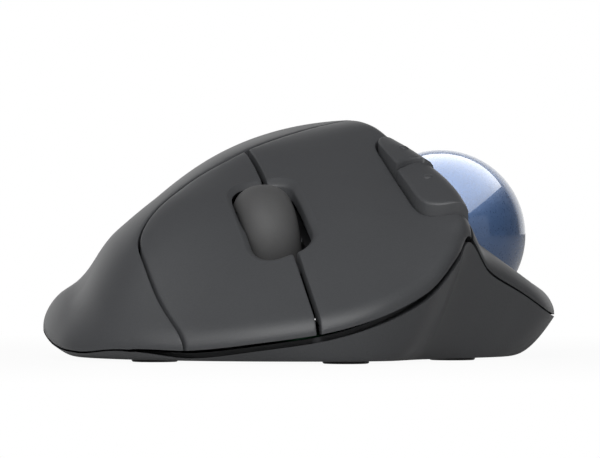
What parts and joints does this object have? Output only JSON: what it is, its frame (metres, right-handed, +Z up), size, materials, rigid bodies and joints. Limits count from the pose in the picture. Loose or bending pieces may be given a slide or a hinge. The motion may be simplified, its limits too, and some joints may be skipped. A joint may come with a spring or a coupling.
{
  "type": "trackball mouse",
  "caption": "Sculpted wireless trackball mouse with a thumb ball in a wing, two key plates, scroll wheel, side buttons and a palm rest.",
  "frame": {"origin": "centre of the bounding box in plan, on the surface the feet stand on", "axes": "+X to the thumb and ball side, -Y to the key end, +Y to the palm end, +Z up"},
  "size_m": [0.1015, 0.134, 0.0472],
  "materials": {
    "shell": "matte, fine grain",
    "ball": "gloss, pearl",
    "tyre": "matte",
    "inner_plastic": "matte",
    "switch_body": "satin",
    "plunger": "satin",
    "board": "satin",
    "steel": "polished",
    "bead": "polished",
    "lens": "clear",
    "cell": "satin",
    "foot": "smooth"
  },
  "bodies": {
    "housing": {"back_switch": "switch_body", "ball_cup": "inner_plastic", "base": "shell", "base_screw_1": "steel", "base_screw_2": "steel", "base_screw_3": "steel", "base_screw_4": "steel", "base_screw_5": "steel", "battery": "cell", "battery_contact": "steel", "battery_spring": "steel", "bearing_bead_1": "bead", "bearing_bead_2": "bead", "bearing_bead_3": "bead", "controller_chip": "switch_body", "foot_1": "foot", "foot_2": "foot", "foot_3": "foot", "foot_4": "foot", "foot_5": "foot", "forward_switch": "switch_body", "frame_screw_1": "steel", "frame_screw_2": "steel", "frame_screw_3": "steel", "key_frame": "inner_plastic", "left_switch": "switch_body", "main_board": "board", "middle_switch": "switch_body", "palm_shell": "shell", "power_switch": "switch_body", "right_switch": "switch_body", "sensor_board": "board", "sensor_chip": "switch_body", "sensor_lens": "lens", "thumb_panel": "shell"},
    "trackball": {"trackball": "ball"},
    "left_key": {"left_key": "shell"},
    "right_key": {"right_key": "shell"},
    "cradle": {"wheel_cradle": "inner_plastic", "wheel_encoder": "switch_body"},
    "wheel": {"wheel_tyre": "tyre", "wheel_hub": "inner_plastic", "wheel_axle": "steel"},
    "left_plunger": {"left_plunger": "plunger"},
    "right_plunger": {"right_plunger": "plunger"},
    "middle_plunger": {"middle_plunger": "plunger"},
    "forward_button": {"forward_button": "shell", "forward_plunger": "plunger"},
    "back_button": {"back_button": "shell", "back_plunger": "plunger"},
    "power_slider": {"power_slider": "inner_plastic"},
    "battery_door": {"battery_door": "shell"}
  },
  "joints": [
    {"name": "trackball_roll", "type": "hinge", "parent": "housing", "child": "trackball", "pos_m": [0.0284, 0.006, 0.0242], "axis": [1, 0, 0], "continuous": true},
    {"name": "left_key_press", "type": "hinge", "parent": "housing", "child": "left_key", "pos_m": [0.0062, -0.00736, 0.03472], "axis": [1, 0, 0], "range_deg": [0, 0.8], "stiffness_Nm_per_rad": 2, "springref_deg": -0.57},
    {"name": "right_key_press", "type": "hinge", "parent": "housing", "child": "right_key", "pos_m": [-0.0103, -0.01066, 0.03307], "axis": [1, 0, 0], "range_deg": [0, 0.9], "stiffness_Nm_per_rad": 2, "springref_deg": -0.57},
    {"name": "cradle_press", "type": "hinge", "parent": "housing", "child": "cradle", "pos_m": [-0.00979, -0.01878, 0.0289], "axis": [0.9755, 0.1966, 0.0983], "range_deg": [0, 1.2], "stiffness_Nm_per_rad": 1.2, "springref_deg": -0.69},
    {"name": "wheel_spin", "type": "hinge", "parent": "cradle", "child": "wheel", "pos_m": [-0.0064, -0.03222, 0.02218], "axis": [0.9755, 0.1966, 0.0983], "continuous": true},
    {"name": "left_plunger_slide", "type": "slide", "parent": "housing", "child": "left_plunger", "axis": [0, 0.4473, -0.8944], "range_m": [0, 0.0008]},
    {"name": "right_plunger_slide", "type": "slide", "parent": "housing", "child": "right_plunger", "axis": [0, 0.4473, -0.8944], "range_m": [0, 0.0008]},
    {"name": "middle_plunger_slide", "type": "slide", "parent": "housing", "child": "middle_plunger", "axis": [0, 0, -1], "range_m": [0, 0.0008]},
    {"name": "forward_press", "type": "slide", "parent": "housing", "child": "forward_button", "axis": [0, 0, -1], "range_m": [0, 0.0005], "stiffness_N_per_m": 1500, "springref_m": -0.0002},
    {"name": "back_press", "type": "slide", "parent": "housing", "child": "back_button", "axis": [0, 0, -1], "range_m": [0, 0.0005], "stiffness_N_per_m": 1500, "springref_m": -0.0002},
    {"name": "power_slide", "type": "slide", "parent": "housing", "child": "power_slider", "axis": [1, 0, 0], "range_m": [0, 0.003]},
    {"name": "battery_door_open", "type": "hinge", "parent": "housing", "child": "battery_door", "pos_m": [-0.016, -0.00825, 0.0006], "axis": [-1, 0, 0], "range_deg": [0, 70]}
  ],
  "couplings": [
    {"joint": "left_plunger_slide", "follows": "left_key_press", "m_per_rad": 0.037791},
    {"joint": "right_plunger_slide", "follows": "right_key_press", "m_per_rad": 0.030076},
    {"joint": "middle_plunger_slide", "follows": "cradle_press", "m_per_rad": 0.027547}
  ]
}
